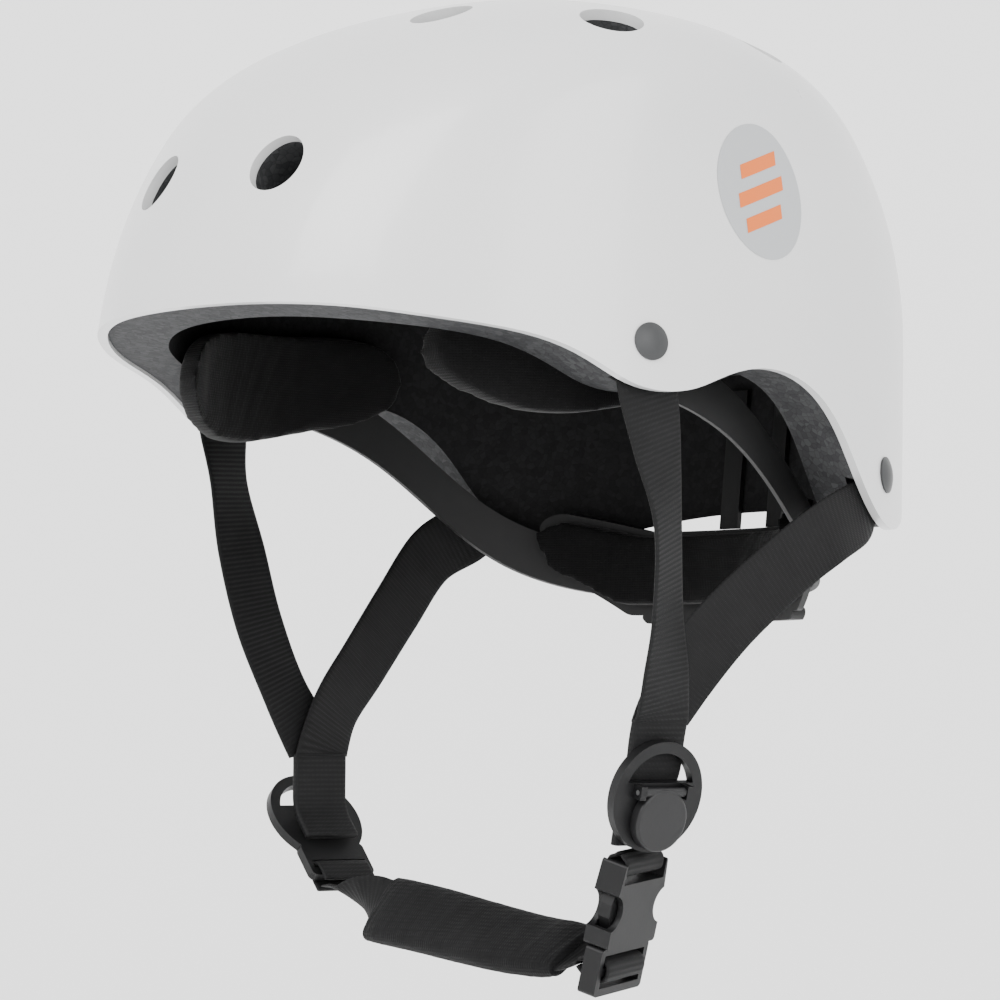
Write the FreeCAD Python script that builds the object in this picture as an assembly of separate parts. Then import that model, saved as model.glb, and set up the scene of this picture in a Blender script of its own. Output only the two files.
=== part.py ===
import FreeCAD, Part
import math
import os

from FreeCAD import Vector

# Water sports helmet.  Millimetres.  +X is the wearer's left, -Y is the front, +Z is up.
# The origin is the middle of the head opening, level with the brow edge of the shell.

# ---------------------------------------------------------------- driving dimensions
HALF_WIDTH = 102.0          # shell half width where the sides start to round over
WIDTH_Z = 53.3              # height of that line above the brow edge
WIDTH_POWER = 3.2           # how square the sides are above it
WIDTH_FLARE = 0.00104       # share of the half width gained for each mm below it
FRONT_REACH = 116.7         # origin to the foremost point of the shell
FRONT_Z = -27.3
FRONT_POWER = 2.25
BACK_REACH = 139.0          # origin to the rearmost point of the shell
BACK_Z = 1.3
BACK_POWER = 2.46
BACK_TAPER = 0.00077        # share of the back reach lost for each mm below BACK_Z
CROWN_Z = 99.4              # top of the shell
PLAN_POWER = 2.15           # superellipse exponent of every level section
SKIRT_Z = -90.0             # the dome is built this low and then trimmed to the wavy edge

SHELL_WALL = 3.0
FIT_GAP = 0.2               # between moulded parts that sit on each other
LINER_OUT = SHELL_WALL + FIT_GAP
LINER_IN = 21.0             # inset of the liner's inner face from the outside of the shell
PAD_BACK = LINER_IN + 0.3
PAD_FACE = 30.0
LINER_TRIM = 1.0            # the liner stops this far above the shell's edge

VENT_R = 9.4
RIVET_CAP_R = 5.4
RIVET_SHANK_R = 2.0
STRAP_WIDTH = 20.0
STRAP_THICK = 1.3
CHANNEL_DEPTH = 4.6         # strap channel sunk into the outside of the liner

LEFT_LEAN = 15.0            # degrees that each divider's lower end leans in towards the chin
RIGHT_LEAN = 40.0
LEFT_CENTRE = (82.0, -2.0, -142.5)
RIGHT_CENTRE = (-86.0, 4.0, -150.5)
BUCKLE_LEAN = 18.0
BUCKLE_TURN = -18.0         # degrees that the buckle is turned about its own length
PLATE = 3.0                 # thickness of the strap dividers
LOCK_R = 9.2
PIN_R = 0.8
PIN_CLEARANCE = 0.05

DIAL_Z = -68.0
DIAL_R = 13.0
TONGUE_ROOM = 1.2           # between the tongues and the dial housing's face
PINION_TEETH = 12
PINION_R = 5.0

# The wavy edge of the shell, front to back: flat brow, dip at the front rivet, arch over
# the ear, low point under the rear rivet, gentle arch at the nape.
EDGE_WAVE = (
    (-150, 2.0), (-118, 1.9), (-100, 0.0), (-80, -4.2), (-62, -7.8), (-50, -11.4), (-40, -16.5),
    (-31, -21.6), (-20, -23.9), (-9, -22.6), (3, -18.4), (17, -15.6), (31, -17.2), (42, -22.3),
    (52, -31.6), (61, -43.9), (68, -51.8), (76, -57.2), (86, -59.0), (98, -56.0), (114, -50.0),
    (130, -47.0), (160, -46.0),
)

# Vent centres: (x, y) seen from above, mirrored left to right where x isn't 0.
VENT_FRONT = (29.5, 42.4)                   # x and z of the pair that faces forwards
VENTS_TOP = ((35.0, -42.0), (82.0, -16.5), (34.0, 14.0), (78.0, 42.0), (33.0, 72.0))
VENT_BACK = (34.0, 38.0)                    # x and z of the pair that faces backwards

RIVET_FRONT = (-23.5, -10.0)                # y and z on each side
RIVET_BACK = (79.9, -43.1)
ARM_OUT = 24.0              # insets of the cradle's layers
ARM_IN = 25.6
ARM_HALF = 7.6
YOKE_OUT = 26.1
YOKE_IN = 28.1
HANGER_X = 10.5
PLUG_R = 2.6
HANGER_OUT = 21.3
HANGER_IN = 22.9
STRAP_RUNS = (Vector(0, 0.1, -1), Vector(0, -0.73, -0.68))      # strap direction at each rivet


# ---------------------------------------------------------------- the dome
def round_over(z, start, power, top):
    """Share of full reach left at height z, 1 at start and 0 at the top."""
    t = max(0.0, (z - start) / (top - start))
    return math.sqrt(max(0.0, 1.0 - t ** power))


def reaches(z, inset):
    """Half width, front reach and back reach of the dome's level section."""
    top = CROWN_Z - inset
    flare = 1.0 + WIDTH_FLARE * max(0.0, WIDTH_Z - z)
    taper = 1.0 - BACK_TAPER * max(0.0, BACK_Z - z)
    side = (HALF_WIDTH * flare - inset) * round_over(z, WIDTH_Z - inset / 2, WIDTH_POWER, top)
    front = (FRONT_REACH - inset) * round_over(z, FRONT_Z, FRONT_POWER, top)
    back = (BACK_REACH * taper - inset) * round_over(z, BACK_Z, BACK_POWER, top)
    return side, front, back


def section_point(z, angle, inset):
    """Point of the level section; angle 0 is the front and 90 degrees the wearer's left."""
    side, front, back = reaches(z, inset)
    s = math.sin(angle)
    c = math.cos(angle)
    power = 2.0 / PLAN_POWER
    x = math.copysign(side * abs(s) ** power, s)
    y = -math.copysign(abs(c) ** power, c) * (front if c > 0 else back)
    return Vector(x, y, z)


def side_x(y, z, inset):
    """Where the dome's left side is, at a given y and z."""
    side, front, back = reaches(z, inset)
    reach = front if y < 0 else back
    return side * (1.0 - abs(y / reach) ** PLAN_POWER) ** (1.0 / PLAN_POWER)


def end_y(x, z, inset, front_end):
    """Where the dome's front or back is, at a given x and z."""
    side, front, back = reaches(z, inset)
    share = (1.0 - abs(x / side) ** PLAN_POWER) ** (1.0 / PLAN_POWER)
    return -front * share if front_end else back * share


def top_z(x, y, inset):
    """Height of the dome above a point in plan, by halving."""
    low = WIDTH_Z - 40.0
    high = CROWN_Z - inset
    for _ in range(40):
        z = (low + high) / 2
        side, front, back = reaches(z, inset)
        reach = front if y < 0 else back
        inside = abs(x / side) ** PLAN_POWER + abs(y / reach) ** PLAN_POWER < 1.0
        if inside:
            low = z
        else:
            high = z
    return low


def dome(inset):
    """Closed solid of the dome, moved in by inset: a spline surface with a flat bottom."""
    around = 32
    rows = 16
    seam = 3 * 2 * math.pi / around
    angles = [seam + 2 * math.pi * i / around for i in range(around)]
    params = [i / around for i in range(around + 1)]
    top = CROWN_Z - inset
    sections = []
    for row in range(rows):
        lift = math.sin(math.pi / 2 * row / rows) ** 0.9
        z = SKIRT_Z + (top - SKIRT_Z) * lift
        curve = Part.BSplineCurve()
        points = [section_point(z, a, inset) for a in angles]
        curve.interpolate(Points=points, PeriodicFlag=True, Parameters=params)
        sections.append(curve)
    columns = []
    steps = [i / rows for i in range(rows + 1)]
    for i in range(sections[0].NbPoles):
        points = [curve.getPoles()[i] for curve in sections] + [Vector(0, 0, top)]
        column = Part.BSplineCurve()
        column.interpolate(Points=points, Parameters=steps)
        columns.append(column)
    poles = [column.getPoles() for column in columns]
    surface = Part.BSplineSurface()
    surface.buildFromPolesMultsKnots(
        poles, sections[0].getMultiplicities(), columns[0].getMultiplicities(),
        sections[0].getKnots(), columns[0].getKnots(), True, False, 3, 3)
    side = surface.toShape()
    rim = [e for e in side.Edges if e.BoundBox.ZMax < SKIRT_Z + 0.01 and e.Length > 1.0]
    floor = Part.Face(Part.Wire(rim))
    shell = Part.makeShell([side, floor])
    shell.sewShape()
    solid = Part.Solid(shell)
    if solid.Volume < 0:
        solid.reverse()
    return solid


DOMES = {}
LAYERS = {}


def layer(outer, inner):
    """The space between two insets of the dome."""
    for inset in (outer, inner):
        if inset not in DOMES:
            DOMES[inset] = dome(inset)
    if (outer, inner) not in LAYERS:
        LAYERS[outer, inner] = DOMES[outer].cut(DOMES[inner])
    return LAYERS[outer, inner]


# ---------------------------------------------------------------- small helpers
def spline(points):
    curve = Part.BSplineCurve()
    curve.interpolate([Vector(*p) for p in points])
    return curve.toShape()


def line(a, b):
    return Part.makeLine(Vector(*a), Vector(*b))


def slab(points, direction, rounding=0.0):
    """Flat polygon pushed along direction, with its long edges rounded."""
    corners = [Vector(*p) for p in points]
    solid = Part.Face(Part.makePolygon(corners + corners[:1])).extrude(Vector(*direction))
    if rounding:
        push = Vector(*direction).normalize()
        along = []
        for edge in solid.Edges:
            tangent = (edge.Vertexes[-1].Point - edge.Vertexes[0].Point).normalize()
            if abs(tangent.dot(push)) > 0.999:
                along.append(edge)
        solid = solid.makeFillet(rounding, along)
    return solid


def box(low, high):
    size = [h - l for l, h in zip(low, high)]
    return Part.makeBox(size[0], size[1], size[2], Vector(*low))


def cylinder(radius, length, start, axis):
    return Part.makeCylinder(radius, length, Vector(*start), Vector(*axis))


def mirrored(shape):
    return shape.mirror(Vector(0, 0, 0), Vector(1, 0, 0))


def compound(shapes):
    return Part.makeCompound(shapes)


NODES = {}


def keep(name, shape):
    NODES[name] = shape


# ---------------------------------------------------------------- shell and liner
def wave_cutter(lift):
    """Everything below the wavy edge, raised by lift."""
    points = [(0, y, z + lift) for y, z in EDGE_WAVE]
    first = points[0]
    last = points[-1]
    wire = Part.Wire([
        spline(points),
        line(last, (0, last[1], SKIRT_Z - 10)),
        line((0, last[1], SKIRT_Z - 10), (0, first[1], SKIRT_Z - 10)),
        line((0, first[1], SKIRT_Z - 10), first),
    ])
    face = Part.Face(wire)
    face.translate(Vector(-140, 0, 0))
    return face.extrude(Vector(280, 0, 0))


def dome_normal(point):
    """Outward direction of the dome at a point on it."""
    def level(p):
        side, front, back = reaches(p.z, 0.0)
        reach = front if p.y < 0 else back
        return abs(p.x / side) ** PLAN_POWER + abs(p.y / reach) ** PLAN_POWER
    step = 0.05
    slope = []
    for axis in (Vector(step, 0, 0), Vector(0, step, 0), Vector(0, 0, step)):
        slope.append(level(point + axis) - level(point - axis))
    return Vector(*slope).normalize()


def vent_axes():
    spots = []
    x, z = VENT_FRONT
    spots.append(Vector(x, end_y(x, z, 0, True), z))
    x, z = VENT_BACK
    spots.append(Vector(x, end_y(x, z, 0, False), z))
    for x, y in VENTS_TOP:
        spots.append(Vector(x, y, top_z(x, y, 0)))
    return [(spot, dome_normal(spot)) for spot in spots]


def vent_cutters():
    tools = []
    for spot, normal in vent_axes():
        start = spot + normal * 12
        hole = cylinder(VENT_R, 48, start, -normal)
        tools += [hole, mirrored(hole)]
    return tools


def rivet_spots():
    """Front and rear rivet on the wearer's left: point on the shell and outward direction."""
    spots = []
    for y, z in (RIVET_FRONT, RIVET_BACK):
        spot = Vector(side_x(y, z, 0), y, z)
        spots.append((spot, dome_normal(spot)))
    return spots


def both_sides(shape):
    return [shape, mirrored(shape)]


def outer_shell(cutter):
    shell = layer(0.0, SHELL_WALL).cut(cutter)
    shell = shell.cut(vent_cutters())
    for spot, normal in rivet_spots():
        hole = cylinder(RIVET_SHANK_R, 12, spot + normal * 4, -normal)
        shell = shell.cut(both_sides(hole))
    return shell


def strap_channel(spot, normal, run):
    """Open-ended pocket in the outside of the liner, behind one rivet, along the strap's run."""
    across = normal.cross(run).normalize()
    down = across.cross(normal).normalize()
    half = across * (STRAP_WIDTH / 2 + 1.0)
    back = spot - normal * (LINER_OUT + CHANNEL_DEPTH)
    top = back - down * 11
    bottom = back + down * 40
    corners = [top - half, top + half, bottom + half, bottom - half]
    return Part.Face(Part.makePolygon(corners + corners[:1])).extrude(normal * 9)


def foam_liner():
    liner = layer(LINER_OUT, LINER_IN).cut(wave_cutter(LINER_TRIM))
    liner = liner.cut(vent_cutters())
    for (spot, normal), run in zip(rivet_spots(), STRAP_RUNS):
        liner = liner.cut(both_sides(strap_channel(spot, normal, run)))
    for plug in cradle_plug_solids(PLUG_R + 0.1):
        liner = liner.cut(plug)
    return liner


def strap_rivets():
    """Four rivets: domed cap outside, shank, and the spread end behind the washer."""
    solids = []
    for spot, normal in rivet_spots():
        ball_r = 12.0
        drop = math.sqrt(ball_r ** 2 - RIVET_CAP_R ** 2)
        ball = Part.makeSphere(ball_r, spot - normal * (drop - 0.5))
        cap = ball.common(cylinder(RIVET_CAP_R, 6, spot, normal))
        shank = cylinder(RIVET_SHANK_R - 0.02, SHELL_WALL + 4.5, spot, -normal)
        tail = cylinder(3.2, 0.8, spot - normal * (SHELL_WALL + 3.7), -normal)
        solids += both_sides(cap.fuse([shank, tail]))
    return compound(solids)


def rivet_washers():
    solids = []
    for spot, normal in rivet_spots():
        start = spot - normal * (SHELL_WALL + 2.8)
        ring = cylinder(6.0, 0.8, start, -normal)
        ring = ring.cut(cylinder(RIVET_SHANK_R + 0.1, 3, start + normal, -normal))
        solids += both_sides(ring)
    return compound(solids)


# ---------------------------------------------------------------- comfort pads
def side_pad():
    """Kidney pad on the left temple, between the liner and the head."""
    outline = [
        (-66, -9), (-60, 0), (-42, 5), (-10, 6), (18, 5), (29, -2), (30, -12), (18, -21),
        (-8, -26), (-34, -30), (-56, -25),
    ]
    curve = Part.BSplineCurve()
    curve.interpolate(Points=[Vector(40, y, z) for y, z in outline], PeriodicFlag=True)
    prism = Part.Face(Part.Wire(curve.toShape())).extrude(Vector(70, 0, 0))
    arm_room = layer(PAD_BACK - 1.0, ARM_IN + 0.4).common(arm_outline(ARM_HALF + 0.6))
    return layer(PAD_BACK, PAD_FACE).common(prism).cut(arm_room)


def end_pad(half, low, high, front_end):
    """Rounded rectangular pad across the brow or the back of the head."""
    reach = -140 if front_end else 140
    outline = [(-half, 0, low), (half, 0, low), (half, 0, high), (-half, 0, high)]
    prism = slab(outline, (0, reach, 0), (high - low) * 0.42)
    return layer(PAD_BACK, PAD_FACE).common(prism)


def crown_pad():
    disc = cylinder(25, 60, (0, 12, 50), (0, 0, 1))
    bar = box((-7, -34, 50), (7, 58, 110))
    arm = box((-26, 5, 50), (26, 19, 110))
    return layer(PAD_BACK, PAD_FACE - 1).common(disc.fuse([bar, arm]).removeSplitter())


# ---------------------------------------------------------------- head cradle
def arm_outline(half):
    """Side view of a cradle arm: from the temple, down and back to the nape."""
    middle = [(-24, -12), (0, -16), (25, -26), (48, -43), (68, -58), (90, -67), (125, -68.2)]
    upper = spline([(0, y, z + half) for y, z in middle])
    lower = spline([(0, y, z - half) for y, z in reversed(middle)])
    ends = [
        line((0, 125, -68.2 + half), (0, 125, -68.2 - half)),
        line((0, -24, -12 - half), (0, -24, -12 + half)),
    ]
    return Part.Face(Part.Wire([upper, ends[0], lower, ends[1]])).extrude(Vector(120, 0, 0))


def rack_teeth(z, up, start, end):
    """Row of triangular rack teeth along x, pointing up or down."""
    pitch = 2 * math.pi * PINION_R / PINION_TEETH
    tip = 1.2 if up else -1.2
    teeth = []
    x = start
    while x + pitch <= end:
        teeth.append(slab([(x, 90, z), (x + pitch, 90, z), (x + pitch / 2, 90, z + tip)], (0, 40, 0)))
        x += pitch
    return teeth


def cradle_arm(is_left):
    """Cradle arm with a toothed tongue that runs past the dial's pinion."""
    sheet = layer(ARM_OUT, ARM_IN)
    pitch = 2 * math.pi * PINION_R / PINION_TEETH
    if is_left:
        low = DIAL_Z + PINION_R + 0.9
        high = low + 3.0
        teeth = rack_teeth(low, False, -6.0 * pitch, 6.1 * pitch)
    else:
        high = DIAL_Z - PINION_R - 0.9
        low = high - 3.0
        teeth = rack_teeth(high, True, -6.0 * pitch, 6.1 * pitch)
    tongue = box((-17, 60, low), (26, 130, high)).fuse(teeth)
    link = box((22, 60, DIAL_Z - 8.9), (26, 130, DIAL_Z + 8.9))
    reach = arm_outline(ARM_HALF).common(box((24, -60, SKIRT_Z), (120, 130, 20)))
    arm = sheet.common(reach.fuse([tongue, link]).removeSplitter()).cut(cradle_plug_solids(PLUG_R))
    if is_left:
        return arm
    return mirrored(arm)


def yoke():
    """Nape plate that the dial sits on, with a lip along its lower edge."""
    outline = [
        (-64, 40, -47), (-34, 40, -55), (34, 40, -55), (64, 40, -47), (61, 40, -67), (40, 40, -81.8),
        (-40, 40, -81.8), (-61, 40, -67),
    ]
    plate = layer(YOKE_OUT, YOKE_IN).common(slab(outline, (0, 100, 0), 5.0))
    lip_outline = [(-38, 40, -80.7), (38, 40, -80.7), (34, 40, -84.5), (-34, 40, -84.5)]
    lip = layer(YOKE_OUT - 3.0, YOKE_IN).common(slab(lip_outline, (0, 100, 0), 1.6))
    shaft_room = cylinder(2.2, 40, (0, 90, DIAL_Z), (0, 1, 0))
    return plate.fuse(lip).cut(shaft_room)


def occipital_pad():
    outline = [
        (-60, 40, -49), (-33, 40, -56), (33, 40, -56), (60, 40, -49), (57, 40, -67), (38, 40, -79.5),
        (-38, 40, -79.5), (-57, 40, -67),
    ]
    return layer(YOKE_IN + 0.1, YOKE_IN + 8.0).common(slab(outline, (0, 100, 0), 5.5))


def hanger():
    """Flexible strip from the liner down to the nape plate, left of the middle."""
    low = (HANGER_X - 3.8, 60, -54.5)
    high = (HANGER_X + 3.8, 140, -10)
    return layer(HANGER_OUT, HANGER_IN).common(box(low, high)).cut(cradle_plug_solids(PLUG_R))


def nape_y(inset):
    """Where a layer of the cradle is, at the dial's height."""
    return end_y(0, DIAL_Z, inset, False)


def dial_housing():
    """Cup that holds the toothed tongues against the pinion, open at both sides."""
    face = nape_y(ARM_OUT) + TONGUE_ROOM
    back = nape_y(YOKE_OUT)
    outer = slab([(-19, back - 1.2, -80.5), (19, back - 1.2, -80.5), (19, back - 1.2, -55.5),
                  (-19, back - 1.2, -55.5)], (0, face + 1.8 - back + 1.2, 0), 5.0)
    tongues = box((-25, back - 5, DIAL_Z - 10.2), (25, face, DIAL_Z + 10.2))
    bore = cylinder(2.2, 30, (0, back - 5, DIAL_Z), (0, 1, 0))
    return outer.cut([tongues, bore, layer(YOKE_OUT, 40)])


def pinion():
    """Toothed wheel on its shaft; the shaft reaches the dial."""
    start = nape_y(ARM_IN) + 0.3
    thick = ARM_IN - ARM_OUT - 0.2
    root_r = PINION_R - 0.9
    wheel = cylinder(root_r, thick, (0, start, DIAL_Z), (0, 1, 0))
    teeth = []
    for i in range(PINION_TEETH):
        half = math.pi / PINION_TEETH * 0.72
        corners = []
        for radius, turn in ((root_r - 0.3, -half), (PINION_R + 0.5, -half * 0.25),
                             (PINION_R + 0.5, half * 0.25), (root_r - 0.3, half)):
            angle = 2 * math.pi * i / PINION_TEETH + turn
            corners.append((radius * math.sin(angle), start, DIAL_Z + radius * math.cos(angle)))
        teeth.append(slab(corners, (0, thick, 0)))
    shaft = cylinder(2.1, 9.0, (0, start - 1.8, DIAL_Z), (0, 1, 0))
    return wheel.fuse(teeth + [shaft])


def fit_dial():
    """Knurled adjusting dial on the outside of the housing."""
    start = nape_y(ARM_OUT) + TONGUE_ROOM + 1.8 + 0.4
    knob = cylinder(DIAL_R, 6.0, (0, start, DIAL_Z), (0, 1, 0))
    rims = [e for e in knob.Edges if len(e.Vertexes) == 1 and e.BoundBox.YMin > start + 5.9]
    knob = knob.makeFillet(1.4, rims)
    grooves = []
    for i in range(20):
        angle = 2 * math.pi * i / 20
        x = (DIAL_R + 0.7) * math.cos(angle)
        z = DIAL_Z + (DIAL_R + 0.7) * math.sin(angle)
        grooves.append(cylinder(1.3, 10, (x, start - 1, z), (0, 1, 0)))
    socket = cylinder(2.1, 3.2, (0, start, DIAL_Z), (0, 1, 0))
    return knob.cut(grooves + [socket])


def cradle_plug_solids(radius):
    """Plugs that hold the arms and the hangers to the liner."""
    solids = []
    front = Vector(side_x(-16, -13, ARM_IN), -16, -13)
    normal = dome_normal(Vector(side_x(-16, -13, 0), -16, -13))
    plug = cylinder(radius, 8.6, front, normal)
    solids += both_sides(plug)
    back = Vector(HANGER_X, end_y(HANGER_X, -18, HANGER_IN, False), -18)
    plug = cylinder(radius, 6.0, back, (0, 1, 0))
    solids += both_sides(plug)
    return solids


# ---------------------------------------------------------------- strap hardware
LAYER_Z = -2.6              # local z of the webbing's middle behind a divider
BEND_Y = 11.0               # where the webbing bends between divider and buckle
BEND_Z = -3.4
BUCKLE_TOP = 14.0           # local y of each stretch of the buckle
BUCKLE_BASE = 39.5
BUCKLE_END = 54.2
BUCKLE_HALF = 12.5
END_GAP = 3.0               # between a strap's end and the doubled webbing it runs into
LADDER_LEG = 6.2            # how far behind the bar the chin strap's two layers meet


def strap_frame(side, lean, origin):
    """Local x across the strap, y down it, z outward; side is 1 for left and -1 for right."""
    lean = math.radians(lean)
    down = Vector(-side * math.sin(lean), 0, -math.cos(lean))
    across = Vector(0, -side, 0)
    out = across.cross(down)
    matrix = FreeCAD.Matrix(
        across.x, down.x, out.x, origin.x,
        across.y, down.y, out.y, origin.y,
        across.z, down.z, out.z, origin.z,
        0, 0, 0, 1)
    return FreeCAD.Placement(matrix)


LEFT = strap_frame(1, LEFT_LEAN, Vector(*LEFT_CENTRE))
RIGHT = strap_frame(-1, RIGHT_LEAN, Vector(*RIGHT_CENTRE))


def buckle_frame():
    """Frame of the buckle: it meets the left divider's frame at the webbing's bend."""
    straight = strap_frame(1, BUCKLE_LEAN, Vector(0, 0, 0))
    turn = FreeCAD.Placement(Vector(0, 0, 0), FreeCAD.Rotation(Vector(0, 1, 0), BUCKLE_TURN))
    frame = straight.multiply(turn)
    bend = LEFT.multVec(Vector(0, BEND_Y, BEND_Z))
    frame.Base = bend - frame.Rotation.multVec(Vector(0, BEND_Y, LAYER_Z))
    return frame


def placed(shape, frame):
    moved = shape.copy()
    moved.Placement = frame.multiply(moved.Placement)
    return moved


def disc_face(radius, x, y, z):
    circle = Part.makeCircle(radius, Vector(x, y, z), Vector(0, 0, 1))
    return Part.Face(Part.Wire(circle))


def tangent_hull(top_r, top_y, low_r, low_y):
    """Outline of two discs on the y axis and the straight sides that touch both."""
    lean = math.asin((top_r - low_r) / (low_y - top_y))
    points = []
    for radius, y in ((top_r, top_y), (low_r, low_y)):
        x = radius * math.cos(lean)
        points.append((x, y + radius * math.sin(lean)))
    (x1, y1), (x2, y2) = points
    middle = Part.Face(Part.makePolygon([
        Vector(-x1, y1, 0), Vector(x1, y1, 0), Vector(x2, y2, 0), Vector(-x2, y2, 0),
        Vector(-x1, y1, 0)]))
    faces = [disc_face(top_r, 0, top_y, 0), disc_face(low_r, 0, low_y, 0)]
    return middle.fuse(faces).removeSplitter()


HINGE_Y = -7.2              # local y of the lock's pin
HINGE_Z = 3.5


def divider_frame(has_tab):
    """Strap divider: round-topped frame that narrows to the lock, with the strap window."""
    plate = tangent_hull(16.3, -5.2, 10.0, 1.2).extrude(Vector(0, 0, PLATE))
    plate.translate(Vector(0, 0, -PLATE / 2))
    window = disc_face(12.9, 0, -5.2, -5).extrude(Vector(0, 0, 10))
    window = window.common(box((-15, -20, -5), (15, HINGE_Y - 2.2, 5)))
    plate = plate.cut(window)
    lugs = []
    for side in (-1, 1):
        near = side * 7.6
        far = side * 9.8
        lug = box((min(near, far), HINGE_Y - 2.0, 0.5), (max(near, far), HINGE_Y + 2.0, HINGE_Z + 1.6))
        lugs.append(lug)
    plate = plate.fuse(lugs)
    plate = plate.cut(cylinder(PIN_R + 0.01, 30, (-15, HINGE_Y, HINGE_Z), (1, 0, 0)))
    if has_tab:
        tab = slab([(-12, 6, -PLATE / 2), (12, 6, -PLATE / 2), (12, 18.5, -PLATE / 2),
                    (-12, 18.5, -PLATE / 2)], (0, 0, PLATE), 2.0)
        slot = box((-10.3, 12.6, -5), (10.3, 15.6, 5))
        plate = plate.fuse(tab).cut(slot)
    return plate


def divider_lock():
    """Round lock that hinges over the webbing, with its barrel between the frame's lugs."""
    face_z = PLATE / 2 + 0.4
    disc = cylinder(LOCK_R, 3.3, (0, HINGE_Y - 1.0 + LOCK_R, face_z), (0, 0, 1))
    rims = [e for e in disc.Edges if len(e.Vertexes) == 1 and e.BoundBox.ZMin > face_z + 3.2]
    disc = disc.makeFillet(0.9, rims)
    barrel = cylinder(1.4, 14.8, (-7.4, HINGE_Y, HINGE_Z), (1, 0, 0))
    lugs = [box((x - 1.7, HINGE_Y - 3, 0), (x + 1.7, HINGE_Y + 2.3, 9)) for x in (-8.9, 8.9)]
    lock = disc.cut(lugs).fuse(barrel)
    return lock.cut(cylinder(PIN_R + PIN_CLEARANCE, 30, (-15, HINGE_Y, HINGE_Z), (1, 0, 0)))


def lock_pin():
    return cylinder(PIN_R, 19.4, (-9.7, HINGE_Y, HINGE_Z), (1, 0, 0))


def webbing_profile(middle, thick, width):
    """Webbing bent along a line of (y, z) points and extruded across."""
    upper = []
    lower = []
    for i, (y, z) in enumerate(middle):
        y0, z0 = middle[max(0, i - 1)]
        y1, z1 = middle[min(len(middle) - 1, i + 1)]
        length = math.hypot(y1 - y0, z1 - z0)
        ny = -(z1 - z0) / length
        nz = (y1 - y0) / length
        upper.append((-width / 2, y + ny * thick / 2, z + nz * thick / 2))
        lower.append((-width / 2, y - ny * thick / 2, z - nz * thick / 2))
    lower.reverse()
    wire = Part.Wire([spline(upper), line(upper[-1], lower[0]), spline(lower), line(lower[-1], upper[0])])
    return Part.Face(wire).extrude(Vector(width, 0, 0))


LOOP_Z = LAYER_Z - 1.1       # local z of the doubled webbing's middle
LEFT_LOOP = ((-27.0, LOOP_Z + 0.3), (-21.0, LOOP_Z + 0.3), (-16.0, LOOP_Z + 0.7),
             (-12.5, LOOP_Z + 0.8), (-9.0, LOOP_Z + 0.3), (-6.0, LOOP_Z))
RIGHT_LOOP = ((-19.2, -15.2), (-15.4, -12.0), (-11.5, -8.6), (-8.0, -5.7), (-5.0, -4.2))


def strap_loop(start, tail):
    """Doubled webbing from above a divider and down behind its window and its lock."""
    middle = list(start) + [(-2.0, LOOP_Z), (2.0, LOOP_Z)]
    return webbing_profile(middle + tail, 2.6, STRAP_WIDTH)


def buckle_wrap():
    """Webbing round the female half's bar."""
    upper = [(BEND_Y + 0.9, 0.7), (12.8, 1.6), (13.5, 2.8), (15.4, 3.3), (17.3, 2.8), (18.2, 0.0)]
    lower = [(y, -z) for y, z in reversed(upper[:-1])]
    return webbing_profile([(y, LAYER_Z + z) for y, z in upper + lower], 1.1, STRAP_WIDTH)


def buckle_female():
    """Female half of the side-release buckle: webbing bar, pocket and side windows."""
    half = 4.3
    body = slab([
        (-BUCKLE_HALF + 1.5, BUCKLE_TOP, LAYER_Z - half), (BUCKLE_HALF - 1.5, BUCKLE_TOP, LAYER_Z - half),
        (BUCKLE_HALF, BUCKLE_BASE - 14, LAYER_Z - half), (BUCKLE_HALF, BUCKLE_BASE, LAYER_Z - half),
        (-BUCKLE_HALF, BUCKLE_BASE, LAYER_Z - half), (-BUCKLE_HALF, BUCKLE_BASE - 14, LAYER_Z - half),
    ], (0, 0, 2 * half), 1.2)
    pocket = box((-10.6, BUCKLE_TOP + 7, LAYER_Z - 2.5), (10.6, BUCKLE_BASE + 1, LAYER_Z + 2.5))
    prong_room = box((-11.6, BUCKLE_BASE - 12, LAYER_Z - 2.2), (11.6, BUCKLE_BASE + 1, LAYER_Z + 2.2))
    slot = box((-10.4, BUCKLE_TOP + 2.6, LAYER_Z - 6), (10.4, BUCKLE_TOP + 6.0, LAYER_Z + 6))
    recesses = []
    for z in (LAYER_Z - 8.5, LAYER_Z + 2.5):
        recesses.append(box((-10.4, BUCKLE_TOP - 1, z), (10.4, BUCKLE_TOP + 5, z + 6)))
    windows = []
    for side in (-1, 1):
        windows.append(cylinder(5.6, 12, (side * 14.0, BUCKLE_BASE - 11, LAYER_Z - 6), (0, 0, 1)))
    return body.cut([pocket, prong_room, slot] + recesses + windows)


def buckle_male():
    """Male half: ladder-lock base with two webbing slots, and the guide tongue."""
    start = BUCKLE_BASE + 0.3
    base = slab([
        (-BUCKLE_HALF, start, LAYER_Z - 2.9), (BUCKLE_HALF, start, LAYER_Z - 2.9),
        (BUCKLE_HALF, BUCKLE_END, LAYER_Z - 2.9), (-BUCKLE_HALF, BUCKLE_END, LAYER_Z - 2.9),
    ], (0, 0, 5.8), 1.4)
    slots = [
        box((-10.4, BUCKLE_END - 6.2, LAYER_Z - 6), (10.4, BUCKLE_END - 2.4, LAYER_Z + 6)),
        box((-10.4, BUCKLE_END - 12.4, LAYER_Z - 6), (10.4, BUCKLE_END - 8.6, LAYER_Z + 6)),
    ]
    tongue = box((-2.6, BUCKLE_TOP + 11, LAYER_Z - 1.8), (2.6, start + 1, LAYER_Z + 1.8))
    return base.fuse(tongue).cut(slots)


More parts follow.
